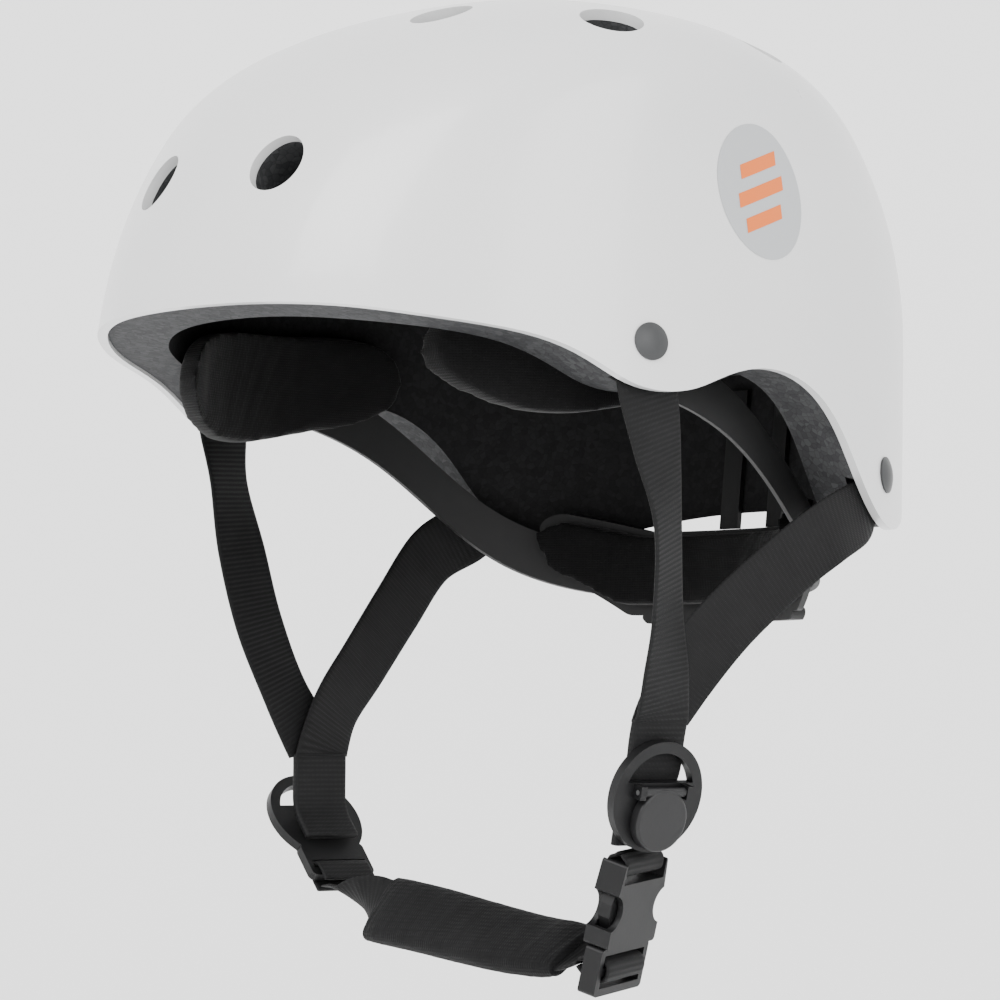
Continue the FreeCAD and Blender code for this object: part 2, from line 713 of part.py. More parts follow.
def buckle_prong(side):
    """Sprung arm of the male half, with the thumb pad that fills the side window."""
    outline = [(5.9, 0.1), (9.0, 0.1), (9.2, 5.3), (10.0, 6.9), (11.2, 8.9), (11.4, 12.9),
               (10.2, 15.9), (7.6, 17.6), (5.4, 16.5), (6.4, 12.5), (6.0, 6.5)]
    corners = [(side * x, BUCKLE_BASE - y, LAYER_Z - 2.0) for x, y in outline]
    return slab(corners, (0, 0, 4.0))


LADDER_BAR = BUCKLE_END - 7.4       # middle of the male half's bar


def ladder_wrap():
    """Webbing of the chin strap where it turns over the male half's bar."""
    upper = [(1.0, -LADDER_LEG), (2.3, -4.2), (3.1, -2.0), (3.1, 1.0), (2.2, 3.4), (0.0, 4.1)]
    lower = [(-y, z) for y, z in reversed(upper[:-1])]
    return webbing_profile([(LADDER_BAR + y, LAYER_Z + z) for y, z in upper + lower], 1.3, STRAP_WIDTH)


# ---------------------------------------------------------------- webbing and chin pad
def between(a, b, c, d, t):
    """Point on the smooth curve from b to c, with a before and d after."""
    return (b * 2 + (c - a) * t + (a * 2 - b * 5 + c * 4 - d) * t ** 2
            + (b * 3 - a - c * 3 + d) * t ** 3) * 0.5


def evened(stations, step):
    """The same run with a station about every step; each is (centre, outward)."""
    count = len(stations)
    result = []
    for i in range(count - 1):
        around = [stations[min(max(k, 0), count - 1)] for k in range(i - 1, i + 3)]
        parts = max(1, round((around[2][0] - around[1][0]).Length / step))
        for k in range(parts):
            centre = between(*[station[0] for station in around], k / parts)
            outward = between(*[station[1] for station in around], k / parts)
            result.append((centre, outward))
    result.append(stations[-1])
    return result


def cross_sections(stations, first=None, last=None):
    """Evened stations as (centre, across, normal); first and last fix the directions of the ends."""
    stations = evened(stations, 6.0)
    sections = []
    for i, (centre, outward) in enumerate(stations):
        before = stations[max(0, i - 1)][0]
        after = stations[min(len(stations) - 1, i + 1)][0]
        along = (after - before).normalize()
        if i == 0 and first:
            along = first
        if i == len(stations) - 1 and last:
            along = last
        across = outward.cross(along).normalize()
        sections.append((centre, across, along.cross(across).normalize()))
    return sections


def lofted(sections, outline):
    """Solid through sections; outline gives (across, normal) offsets for a section's number."""
    wires = []
    for i, (centre, across, normal) in enumerate(sections):
        corners = [centre + across * u + normal * v for u, v in outline(i)]
        wires.append(Part.makePolygon(corners + corners[:1]))
    return Part.makeLoft(wires, True, True)


def ribbon(sections, width, thick):
    """Webbing through cross-sections."""
    u = width / 2
    v = thick / 2
    return lofted(sections, lambda i: [(-u, -v), (u, -v), (u, v), (-u, v)])


def facing(side, turn):
    """Level outward direction; a positive turn brings the rear edge inwards."""
    turn = math.radians(turn)
    return Vector(side * math.cos(turn), math.sin(turn), 0)


def anchored_stations(side, spot, normal, run, reach):
    """The strap's stretch between shell and liner, from above the rivet to the shell's edge."""
    along = (run - normal * run.dot(normal)).normalize()
    stations = []
    for distance in (-8.0, 0.0, reach * 0.6, reach):
        centre = spot - normal * (SHELL_WALL + 1.9) + along * distance
        stations.append((centre, normal))
    if side < 0:
        stations = [(Vector(-c.x, c.y, c.z), Vector(-n.x, n.y, n.z)) for c, n in stations]
    return stations


# Hanging stretches: x, y, z and turn at each station on the way down to the divider.
HANG_FRONT_LEFT = (
    (102.6, -17.5, -38, 6), (99.9, -11.2, -59, 27), (94.4, -6.6, -86, 24), (90.9, -4.4, -104, 8),
)
HANG_BACK_LEFT = (
    (96.6, 55.0, -60.5, 4), (94.2, 41.0, -70, 0), (90.0, 22.0, -86, -6), (86.4, 7.6, -102, -10),
)
HANG_FRONT_RIGHT = (
    (-102.3, -20.5, -40, -20), (-98.6, -18.0, -62, -8), (-94.6, -14.0, -85, -8), (-90.6, -6.5, -107, -12),
)
HANG_BACK_RIGHT = (
    (-98.4, 57.0, -62, 4), (-95.0, 41.0, -79, 0), (-91.0, 24.5, -97, -4), (-88.8, 12.0, -111.5, -8),
)


def strap(side, rivet_index, reach, hang):
    """Strap from its rivet to the divider; the front one lies outside the rear one there."""
    spot, normal = rivet_spots()[rivet_index]
    stations = anchored_stations(side, spot, normal, STRAP_RUNS[rivet_index], reach)
    for x, y, z, turn in hang:
        stations.append((Vector(x, y, z), facing(side, turn)))
    frame, loop = (LEFT, LEFT_LOOP) if side > 0 else (RIGHT, RIGHT_LOOP)
    (y, z), (y_next, z_next) = loop[:2]
    down = frame.Rotation.multVec(Vector(0, y_next - y, z_next - z)).normalize()
    outward = frame.Rotation.multVec(Vector(0, z - z_next, y_next - y)).normalize()
    offset = 0.85 if rivet_index == 0 else -0.85
    stations.append((frame.multVec(Vector(0, y, z)) - down * END_GAP + outward * offset, outward))
    hole = cylinder(RIVET_SHANK_R, 16, spot + normal * 4, -normal)
    if side < 0:
        hole = mirrored(hole)
    return ribbon(cross_sections(stations, last=down), STRAP_WIDTH, STRAP_THICK).cut(hole)


# Middle of the chin pad from the buckle's side to the other: x, y, z and tilt of its flat.
CHIN_LINE = ((52.0, -5.6, -183.0, 30), (30.0, -6.4, -181.6, 38), (6.0, -6.0, -178.9, 44),
             (-18.0, -5.0, -176.0, 50), (-42.5, -4.0, -173.6, 56))
CHIN_TWIST = ((-48.0, -3.2, -173.4, 75), (-55.5, -1.0, -173.2, 115), (-63.0, 2.0, -172.0, 150))
CHIN_PAD_WIDE = 23.0
CHIN_PAD_THICK = 9.0


def tilted(tilt):
    """Outward direction of the chin strap, tilted about its length."""
    tilt = math.radians(tilt)
    return Vector(0, math.sin(tilt), -math.cos(tilt))


def chin_sections():
    """From the ladder lock, through the pad, with a twist, to the right divider."""
    frame = buckle_frame()
    start = frame.multVec(Vector(0, LADDER_BAR, LAYER_Z - LADDER_LEG - 0.2))
    end = RIGHT.multVec(Vector(0, 21.8, 0))
    stations = [(start, frame.Rotation.multVec(Vector(0, 1, 0)))]
    for x, y, z, tilt in CHIN_LINE + CHIN_TWIST:
        stations.append((Vector(x, y, z), tilted(tilt)))
    stations.append((end, RIGHT.Rotation.multVec(Vector(0, 0, -1))))
    inwards = frame.Rotation.multVec(Vector(0, 0, -1))
    return cross_sections(stations, inwards, RIGHT.Rotation.multVec(Vector(0, -1, 0)))


def chin_strap():
    return ribbon(chin_sections(), STRAP_WIDTH, STRAP_THICK)


def chin_loop():
    """Folded end of the chin strap round the right divider's lower bar."""
    half = 2.6
    middle = [(21.2, half + 0.2), (17.5, half + 0.2), (14.6, half - 0.4), (13.6, 0.0),
              (14.6, -half + 0.4), (17.5, -half - 0.2), (21.2, -half - 0.2)]
    return webbing_profile(middle, 1.5, STRAP_WIDTH - 0.6)


def chin_pad():
    """Padded sleeve round the chin strap."""
    covered = [s for s in chin_sections() if CHIN_LINE[-1][0] - 0.1 < s[0].x < CHIN_LINE[0][0] + 0.1]

    def outline(i):
        from_end = min(i, len(covered) - 1 - i)
        half_width = CHIN_PAD_WIDE / 2 * (0.95, 0.99, 1.0)[min(from_end, 2)]
        half_thick = CHIN_PAD_THICK / 2 * (0.75, 0.95, 1.0)[min(from_end, 2)]
        shape = ((-1, -0.45), (-0.8, -1), (0.8, -1), (1, -0.45), (1, 0.45), (0.8, 1), (-0.8, 1), (-1, 0.45))
        return [(u * half_width, v * half_thick) for u, v in shape]

    return lofted(covered, outline).cut(ribbon(chin_sections(), STRAP_WIDTH + 0.5, STRAP_THICK + 0.5))


# ---------------------------------------------------------------- every node
def build():
    keep("outer_shell", outer_shell(wave_cutter(0.0)))
    keep("foam_liner", foam_liner())
    keep("strap_rivets", strap_rivets())
    keep("rivet_washers", rivet_washers())
    keep("brow_pad", end_pad(46, 6, 40, True))
    keep("rear_pad", end_pad(44, -6, 30, False))
    keep("side_pad_left", side_pad())
    keep("side_pad_right", mirrored(side_pad()))
    keep("crown_pad", crown_pad())
    keep("cradle_arm_left", cradle_arm(True))
    keep("cradle_arm_right", cradle_arm(False))
    keep("cradle_plugs", compound(cradle_plug_solids(PLUG_R)))
    keep("cradle_hanger_left", hanger())
    keep("cradle_hanger_right", mirrored(hanger()))
    keep("occipital_yoke", yoke())
    keep("occipital_pad", occipital_pad())
    keep("dial_housing", dial_housing())
    keep("dial_pinion", pinion())
    keep("fit_dial", fit_dial())
    keep("strap_front_left", strap(1, 0, 14.0, HANG_FRONT_LEFT))
    keep("strap_back_left", strap(1, 1, 15.0, HANG_BACK_LEFT))
    keep("strap_front_right", strap(-1, 0, 14.0, HANG_FRONT_RIGHT))
    keep("strap_back_right", strap(-1, 1, 15.0, HANG_BACK_RIGHT))
    keep("divider_frame_left", placed(divider_frame(False), LEFT))
    keep("divider_frame_right", placed(divider_frame(True), RIGHT))
    keep("divider_lock_left", placed(divider_lock(), LEFT))
    keep("divider_lock_right", placed(divider_lock(), RIGHT))
    keep("lock_pins", compound([placed(lock_pin(), LEFT), placed(lock_pin(), RIGHT)]))
    left_tail = [(6.0, BEND_Z - 0.2), (BEND_Y - 0.8, BEND_Z)]
    keep("strap_loop_left", placed(strap_loop(LEFT_LOOP, left_tail), LEFT))
    keep("strap_loop_right", placed(strap_loop(RIGHT_LOOP, [(5.0, LOOP_Z)]), RIGHT))
    buckle = buckle_frame()
    keep("buckle_wrap", placed(buckle_wrap(), buckle))
    keep("buckle_female", placed(buckle_female(), buckle))
    keep("buckle_male", placed(buckle_male(), buckle))
    keep("buckle_prong_front", placed(buckle_prong(1), buckle))
    keep("buckle_prong_back", placed(buckle_prong(-1), buckle))
    keep("ladder_wrap", placed(ladder_wrap(), buckle))
    keep("chin_strap", chin_strap())
    keep("chin_loop", placed(chin_loop(), RIGHT))
    keep("chin_pad", chin_pad())


def main():
    os.makedirs("parts", exist_ok=True)
    build()
    for name, shape in NODES.items():
        shape.exportStep("parts/" + name + ".step")
        size = shape.BoundBox
        print(name, len(shape.Solids), "solids", "valid" if shape.isValid() else "NOT VALID",
              round(size.XLength, 1), round(size.YLength, 1), round(size.ZLength, 1))


if __name__ == "__main__":
    main()
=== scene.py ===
import math

import bmesh
import bpy
from mathutils import Matrix, Vector
from mathutils.bvhtree import BVHTree


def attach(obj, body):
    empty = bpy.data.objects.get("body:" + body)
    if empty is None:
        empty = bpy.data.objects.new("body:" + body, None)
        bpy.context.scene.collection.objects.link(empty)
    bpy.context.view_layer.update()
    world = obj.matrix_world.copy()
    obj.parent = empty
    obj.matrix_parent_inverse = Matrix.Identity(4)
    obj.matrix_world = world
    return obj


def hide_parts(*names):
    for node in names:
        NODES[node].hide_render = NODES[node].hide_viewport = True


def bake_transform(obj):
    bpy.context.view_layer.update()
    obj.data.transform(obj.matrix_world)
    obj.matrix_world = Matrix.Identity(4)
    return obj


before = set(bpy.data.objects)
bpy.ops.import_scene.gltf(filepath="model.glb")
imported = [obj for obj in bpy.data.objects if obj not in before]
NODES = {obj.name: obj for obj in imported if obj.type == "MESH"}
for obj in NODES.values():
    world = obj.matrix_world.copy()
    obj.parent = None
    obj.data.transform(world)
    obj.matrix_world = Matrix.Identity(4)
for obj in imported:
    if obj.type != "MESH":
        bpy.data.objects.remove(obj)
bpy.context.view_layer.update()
MM = 0.001
STRAP_WIDTH = 20.0
STRAP_THICK = 1.3


# ------------------------------------------------------------------ materials
def material(name, colour, roughness, **sockets):
    """Plain principled material; sockets are set by name."""
    mat = bpy.data.materials.new(name)
    mat.use_nodes = True
    shader = mat.node_tree.nodes["Principled BSDF"]
    shader.inputs["Base Color"].default_value = (*colour, 1)
    shader.inputs["Roughness"].default_value = roughness
    for socket, value in sockets.items():
        shader.inputs[socket.replace("_", " ")].default_value = value
    return mat


class Nodes:
    """Small helper that adds and links nodes of one material."""

    def __init__(self, mat):
        self.tree = mat.node_tree
        self.shader = self.tree.nodes["Principled BSDF"]
        self.coords = self.add("ShaderNodeTexCoord").outputs["Object"]

    def add(self, kind, **values):
        node = self.tree.nodes.new(kind)
        for key, value in values.items():
            if key in node.inputs:
                node.inputs[key].default_value = value
            else:
                setattr(node, key, value)
        return node

    def link(self, a, b):
        self.tree.links.new(a, b)

    def noise(self, scale, detail=3.0, roughness=0.5, coords=None):
        node = self.add("ShaderNodeTexNoise", Scale=scale, Detail=detail, Roughness=roughness)
        self.link(coords or self.coords, node.inputs["Vector"])
        return node.outputs["Fac"]

    def ramp(self, value, stops):
        node = self.add("ShaderNodeValToRGB")
        elements = node.color_ramp.elements
        elements[0].position, elements[0].color = stops[0][0], (*stops[0][1], 1)
        elements[1].position, elements[1].color = stops[-1][0], (*stops[-1][1], 1)
        for position, colour in stops[1:-1]:
            elements.new(position).color = (*colour, 1)
        self.link(value, node.inputs["Fac"])
        return node.outputs["Color"]

    def spread(self, value, low, high):
        node = self.add("ShaderNodeMapRange")
        node.inputs["To Min"].default_value = low
        node.inputs["To Max"].default_value = high
        self.link(value, node.inputs["Value"])
        return node.outputs["Result"]

    def bump(self, height, distance, strength=1.0, after=None):
        node = self.add("ShaderNodeBump", Distance=distance, Strength=strength)
        self.link(height, node.inputs["Height"])
        if after:
            self.link(after, node.inputs["Normal"])
        return node.outputs["Normal"]

    def finish(self, colour=None, roughness=None, normal=None):
        for output, socket in ((colour, "Base Color"), (roughness, "Roughness"), (normal, "Normal")):
            if output:
                self.link(output, self.shader.inputs[socket])


def shade(colour, factor):
    return tuple(min(1.0, c * factor) for c in colour)


def plastic(name, colour, roughness, grain, depth, coat=0.0, gloss=0.3):
    """Moulded plastic: slightly uneven gloss and fine spark-eroded grain."""
    mat = material(name, colour, roughness, Coat_Weight=coat, Coat_Roughness=0.12,
                   Specular_IOR_Level=gloss)
    n = Nodes(mat)
    broad = n.noise(45, 4)
    fine = n.noise(grain, 2)
    n.finish(n.ramp(broad, [(0.3, shade(colour, 0.88)), (0.7, shade(colour, 1.1))]),
             n.spread(broad, roughness - 0.06, roughness + 0.09), n.bump(fine, depth, 0.5))
    return mat


def shell_material():
    """Gloss white shell with a faint ripple and light scuffs in its roughness."""
    mat = material("shell_white", (0.575, 0.575, 0.577), 0.3, Coat_Weight=0.25, Coat_Roughness=0.1)
    n = Nodes(mat)
    broad = n.noise(14, 3)
    fine = n.noise(260, 3)
    scuff = n.noise(90, 8, 0.7)
    rough = n.add("ShaderNodeMath", operation="ADD")
    n.link(n.spread(broad, 0.24, 0.36), rough.inputs[0])
    n.link(n.spread(scuff, -0.04, 0.06), rough.inputs[1])
    n.finish(n.ramp(broad, [(0.25, (0.56, 0.563, 0.567)), (0.75, (0.59, 0.59, 0.589))]),
             rough.outputs[0], n.bump(fine, 0.00004, 0.35))
    return mat


def foam_material(name, dark, light):
    """Expanded foam: fused beads of about 2 mm, each a little lighter or darker."""
    mat = material(name, dark, 0.78, Specular_IOR_Level=0.15)
    n = Nodes(mat)
    beads = n.add("ShaderNodeTexVoronoi", Scale=520.0)
    n.link(n.coords, beads.inputs["Vector"])
    edges = n.add("ShaderNodeTexVoronoi", Scale=520.0, feature="DISTANCE_TO_EDGE")
    n.link(n.coords, edges.inputs["Vector"])
    grey = n.add("ShaderNodeSeparateColor")
    n.link(beads.outputs["Color"], grey.inputs[0])
    tone = n.ramp(grey.outputs[0], [(0.0, dark), (1.0, light)])
    seam = n.ramp(edges.outputs["Distance"], [(0.0, (0.72, 0.72, 0.72)), (0.1, (1, 1, 1))])
    mix = n.add("ShaderNodeMix", data_type="RGBA", blend_type="MULTIPLY")
    mix.inputs["Factor"].default_value = 1.0
    n.link(tone, mix.inputs[6])
    n.link(seam, mix.inputs[7])
    grain = n.noise(900, 2)
    n.finish(mix.outputs[2], n.spread(grain, 0.7, 0.88),
             n.bump(edges.outputs["Distance"], 0.00012, 0.4, n.bump(grain, 0.00008, 0.4)))
    return mat


def fabric(name, colour, weave, depth, sheen=0.3):
    """Knitted or brushed cloth: two crossed fine waves and a soft nap."""
    mat = material(name, colour, 0.85, Sheen_Weight=sheen, Sheen_Roughness=0.45,
                   Specular_IOR_Level=0.12)
    n = Nodes(mat)
    nap = n.noise(1500, 3)
    broad = n.noise(60, 5, 0.6)
    waves = []
    for direction in ("X", "Y", "Z"):
        wave = n.add("ShaderNodeTexWave", Scale=weave, Distortion=1.5, bands_direction=direction)
        n.link(n.coords, wave.inputs["Vector"])
        waves.append(wave.outputs["Fac"])
    first = n.add("ShaderNodeMath", operation="MULTIPLY")
    n.link(waves[0], first.inputs[0])
    n.link(waves[1], first.inputs[1])
    both = n.add("ShaderNodeMath", operation="ADD")
    n.link(first.outputs[0], both.inputs[0])
    n.link(waves[2], both.inputs[1])
    n.finish(n.ramp(broad, [(0.3, shade(colour, 0.72)), (0.7, shade(colour, 1.35))]),
             n.spread(nap, 0.74, 0.95), n.bump(both.outputs[0], depth, 0.5, n.bump(nap, depth, 0.4)))
    return mat


def webbing_material():
    """Ribbed nylon: fine yarns across the strap."""
    colour = (0.0042, 0.0042, 0.0044)
    mat = material("webbing_black", colour, 0.62, Sheen_Weight=0.015, Sheen_Roughness=0.4,
                   Specular_IOR_Level=0.16)
    n = Nodes(mat)
    uv = n.add("ShaderNodeUVMap", uv_map="strap").outputs["UV"]
    yarn = n.add("ShaderNodeTexWave", Scale=620.0, Distortion=0.6, bands_direction="X")
    n.link(uv, yarn.inputs["Vector"])
    pick = n.add("ShaderNodeTexWave", Scale=210.0, Distortion=0.3, bands_direction="Y")
    n.link(uv, pick.inputs["Vector"])
    weave = n.add("ShaderNodeMath", operation="MULTIPLY")
    n.link(yarn.outputs["Fac"], weave.inputs[0])
    n.link(pick.outputs["Fac"], weave.inputs[1])
    broad = n.noise(70, 4)
    n.finish(n.ramp(broad, [(0.3, shade(colour, 0.8)), (0.7, shade(colour, 1.3))]),
             n.spread(weave.outputs[0], 0.72, 0.5), n.bump(weave.outputs[0], 0.00012, 0.7))
    return mat


def steel(name):
    mat = material(name, (0.5, 0.5, 0.5), 0.35, Metallic=1.0)
    n = Nodes(mat)
    scratch = n.noise(700, 2)
    n.finish(None, n.spread(scratch, 0.25, 0.45), n.bump(scratch, 0.00002, 0.3))
    return mat


SHELL = shell_material()
FOAM = foam_material("foam_grey", (0.028, 0.0285, 0.03), (0.048, 0.0485, 0.05))
# Near-black foam, painted shade for the inside of the liner.
FOAM_PAINTED_SHADE = foam_material("foam_painted_shade", (0.0045, 0.0045, 0.0048), (0.0085, 0.0085, 0.009))
PAD = fabric("pad_black", (0.0016, 0.0016, 0.0017), 420.0, 0.00012, 0.06)
CHIN = fabric("sleeve_black", (0.0036, 0.0036, 0.0038), 300.0, 0.00018, 0.03)
WEBBING = webbing_material()
CRADLE = plastic("cradle_black", (0.003, 0.003, 0.0032), 0.5, 900, 0.00006)
HARDWARE = plastic("buckle_black", (0.0045, 0.0045, 0.0048), 0.42, 1100, 0.00005, gloss=0.22)
LOCK = plastic("lock_grey", (0.0085, 0.0085, 0.009), 0.44, 800, 0.00006)
RIVET = plastic("rivet_grey", (0.03, 0.031, 0.032), 0.4, 700, 0.00004)
DIAL = plastic("dial_rubber", (0.005, 0.005, 0.0053), 0.66, 600, 0.0001)
STEEL = steel("steel_plain")

LOOKS = {
    "outer_shell": SHELL, "foam_liner": FOAM, "strap_rivets": RIVET, "rivet_washers": STEEL,
    "lock_pins": STEEL, "divider_frame_left": HARDWARE, "divider_frame_right": HARDWARE,
    "divider_lock_left": LOCK, "divider_lock_right": LOCK, "buckle_female": HARDWARE,
    "buckle_male": HARDWARE, "buckle_prong_front": HARDWARE, "buckle_prong_back": HARDWARE,
    "fit_dial": DIAL, "dial_pinion": CRADLE, "dial_housing": CRADLE, "occipital_yoke": CRADLE,
    "cradle_plugs": CRADLE,
}
for node, look in LOOKS.items():
    NODES[node].data.materials.clear()
    NODES[node].data.materials.append(look)

# The foam's inner face gets a much darker foam as painted shade for the hollow; its cut rim keeps the plain
# foam.
foam = NODES["foam_liner"].data
foam.materials.append(FOAM_PAINTED_SHADE)
# Faces that look into the helmet's hollow take the painted-shade foam (material index 1).
for face in foam.polygons:
    inward = Vector((0, 0.012, 0)) - face.center
    if face.normal.dot(inward.normalized()) > 0.45 and face.center.z > -0.07:
        face.material_index = 1


# ------------------------------------------------------------------ shared geometry
def surface(node):
    """Ray-casting tree of a CAD node."""
    mesh = NODES[node].data
    return BVHTree.FromPolygons([v.co.copy() for v in mesh.vertices], [list(p.vertices) for p in mesh.polygons])


SHELL_TREE = surface("outer_shell")


def on_shell(y, z, side, around=0.0):
    """Point and outward direction of the shell's outside at y, z in millimetres."""
    point = Vector()
    normal = Vector()
    spots = ((around, 0), (-around, 0), (0, around), (0, -around)) if around else ((0, 0),)
    for dy, dz in spots:
        start = Vector((side * 0.3, (y + dy) * MM, (z + dz) * MM))
        hit, out, _, _ = SHELL_TREE.ray_cast(start, Vector((-side, 0, 0)))
        point += hit / MM / len(spots)
        normal += out if out.x * side > 0 else -out
    return point, normal.normalized()


def strap_frame(side, lean, origin, turn=0.0):
    """Axes of a piece of strap hardware: x across the strap, y down it, z outward."""
    lean = math.radians(lean)
    down = Vector((-side * math.sin(lean), 0, -math.cos(lean)))
    across = Vector((0, -side, 0))
    out = across.cross(down)
    matrix = Matrix((across, down, out)).transposed().to_4x4()
    matrix.translation = origin
    return matrix @ Matrix.Rotation(math.radians(turn), 4, "Y")


LEFT_CENTRE = (82.0, -2.0, -142.5)
RIGHT_CENTRE = (-86.0, 4.0, -150.5)
LEFT_LEAN = 15.0
RIGHT_LEAN = 40.0
BUCKLE_LEAN = 18.0
BUCKLE_TURN = -18.0
LAYER_Z = -2.6
BEND_Y = 11.0
BEND_Z = -3.4
LADDER_BAR = 46.8
LADDER_LEG = 6.2
LEFT = strap_frame(1, LEFT_LEAN, Vector(LEFT_CENTRE))
RIGHT = strap_frame(-1, RIGHT_LEAN, Vector(RIGHT_CENTRE))
BUCKLE = strap_frame(1, BUCKLE_LEAN, Vector((0, 0, 0)), BUCKLE_TURN)
BUCKLE.translation = LEFT @ Vector((0, BEND_Y, BEND_Z)) - BUCKLE.to_3x3() @ Vector((0, BEND_Y, LAYER_Z))


def axis(matrix, x, y, z):
    return (matrix.to_3x3() @ Vector((x, y, z))).normalized()


def smooth_curve(values, t):
    """Catmull-Rom value at t, counted in stations."""
    i = min(int(t), len(values) - 2)
    f = t - i
    a = values[max(i - 1, 0)]
    b = values[i]
    c = values[i + 1]
    d = values[min(i + 2, len(values) - 1)]
    return 0.5 * (b * 2 + (c - a) * f + (a * 2 - b * 5 + c * 4 - d) * f * f
                  + (b * 3 - a - c * 3 + d) * f ** 3)


def fine_sections(stations, step, first=None, last=None):
    """Sections (centre, across, normal, distance) every step along (centre, outward) stations."""
    centres = [s[0] for s in stations]
    outwards = [s[1] for s in stations]
    places = [0.0]
    for i in range(len(stations) - 1):
        parts = max(2, round((centres[i + 1] - centres[i]).length / step))
        places += [i + (k + 1) / parts for k in range(parts)]
    points = [smooth_curve(centres, t) for t in places]
    sections = []
    distance = 0.0
    for i, t in enumerate(places):
        before = points[max(0, i - 1)]
        after = points[min(len(points) - 1, i + 1)]
        along = (after - before).normalized()
        for fixed, end in ((first, 0), (last, len(places) - 1)):
            if fixed:
                share = max(0.0, 1 - (points[i] - points[end]).length / 5.0)
                along = along.lerp(fixed, share).normalized()
        across = smooth_curve(outwards, t).cross(along).normalized()
        if i:
            distance += (points[i] - points[i - 1]).length
        sections.append((points[i], across, along.cross(across).normalized(), distance))
    return sections


def mesh_object(name, verts, faces, look, smooth=True):
    mesh = bpy.data.meshes.new(name)
    mesh.from_pydata([v * MM for v in verts], [], faces)
    mesh.update()
    obj = bpy.data.objects.new(name, mesh)
    bpy.context.scene.collection.objects.link(obj)
    mesh.materials.append(look)
    mesh.polygons.foreach_set("use_smooth", [smooth] * len(mesh.polygons))
    return obj


def swept(name, sections, outline, look):
    """Closed mesh through sections; outline(distance, i) gives (across, normal) offsets."""
    verts = []
    uvs = []
    count = 0
    for i, (centre, across, normal, distance) in enumerate(sections):
        ring = outline(distance, i)
        count = len(ring)
        for u, v in ring:
            verts.append(centre + across * u + normal * v)
            uvs.append((u * MM, distance * MM))
    faces = []
    for i in range(len(sections) - 1):
        for k in range(count):
            m = (k + 1) % count
            faces.append((i * count + k, i * count + m, (i + 1) * count + m, (i + 1) * count + k))
    faces.append(tuple(range(count - 1, -1, -1)))
    faces.append(tuple((len(sections) - 1) * count + k for k in range(count)))
    obj = mesh_object(name, verts, faces, look)
    layer = obj.data.uv_layers.new(name="strap")
    for loop in obj.data.loops:
        layer.data[loop.index].uv = uvs[loop.vertex_index]
    bm = bmesh.new()
    bm.from_mesh(obj.data)
    bmesh.ops.recalc_face_normals(bm, faces=bm.faces)
    bm.to_mesh(obj.data)
    bm.free()
    return obj


RIB_PITCH = 1.5


def webbing(name, sections, width, thick, look=None):
    """Flat webbing with rounded selvedges and cross ribs in its mesh."""
    half = width / 2
    across = [-1.0, -0.985, -0.95, -0.86, -0.7, -0.35, 0.0, 0.35, 0.7, 0.86, 0.95, 0.985, 1.0]

    def outline(distance, i):
        rib = 0.075 * math.cos(2 * math.pi * distance / RIB_PITCH)
        ring = []
        for side in (-1, 1):
            for u in across if side < 0 else reversed(across[1:-1]):
                edge = max(0.0, 1 - ((abs(u) - 0.9) / 0.1) ** 2) ** 0.5 if abs(u) > 0.9 else 1.0
                lift = rib if abs(u) < 0.87 else 0.02
                ring.append((u * half, side * (thick / 2 * max(edge, 0.12) + lift * edge)))
        return ring

    return swept(name, sections, outline, look or WEBBING)


def path_sections(matrix, middle, step=0.4):
    """Sections of webbing bent along local (y, z) points, x staying across."""
    points = [Vector((0, y, z)) for y, z in middle]
    places = [0.0]
    for i in range(len(points) - 1):
        parts = max(2, round((points[i + 1] - points[i]).length / step))
        places += [i + (k + 1) / parts for k in range(parts)]
    line = [smooth_curve(points, t) for t in places]
    sections = []
    distance = 0.0
    for i, point in enumerate(line):
        along = (line[min(i + 1, len(line) - 1)] - line[max(i - 1, 0)]).normalized()
        if i:
            distance += (point - line[i - 1]).length
        normal = Vector((1, 0, 0)).cross(along)
        sections.append((matrix @ point, axis(matrix, 1, 0, 0), axis(matrix, *normal), distance))
    return sections


# ------------------------------------------------------------------ straps
RIVETS = ((-23.5, -10.0), (79.9, -43.1))
RUNS = (Vector((0, 0.1, -1)), Vector((0, -0.73, -0.68)))
STRAPS = {
    "front_left": (1, 0, 14.0, (
        (102.6, -17.5, -38, 6), (99.9, -11.2, -59, 27), (94.4, -6.6, -86, 24), (90.9, -4.4, -104, 8))),
    "back_left": (1, 1, 15.0, (
        (96.6, 55.0, -60.5, 4), (94.2, 41.0, -70, 0), (90.0, 22.0, -86, -6), (86.4, 7.6, -102, -10))),
    "front_right": (-1, 0, 14.0, (
        (-102.3, -20.5, -40, -20), (-98.6, -18.0, -62, -8), (-94.6, -14.0, -85, -8),
        (-90.6, -6.5, -107, -12))),
    "back_right": (-1, 1, 15.0, (
        (-98.4, 57.0, -62, 4), (-95.0, 41.0, -79, 0), (-91.0, 24.5, -97, -4), (-88.8, 12.0, -111.5, -8))),
}
LOOP_Z = LAYER_Z - 1.1
LEFT_LOOP = [(-27.0, LOOP_Z + 0.3), (-21.0, LOOP_Z + 0.3), (-16.0, LOOP_Z + 0.7), (-12.5, LOOP_Z + 0.8),
             (-9.0, LOOP_Z + 0.3), (-6.0, LOOP_Z)]
RIGHT_LOOP = [(-19.2, -15.2), (-15.4, -12.0), (-11.5, -8.6), (-8.0, -5.7), (-5.0, -4.2)]
LOOP_END = [(-2.0, LOOP_Z), (2.0, LOOP_Z)]


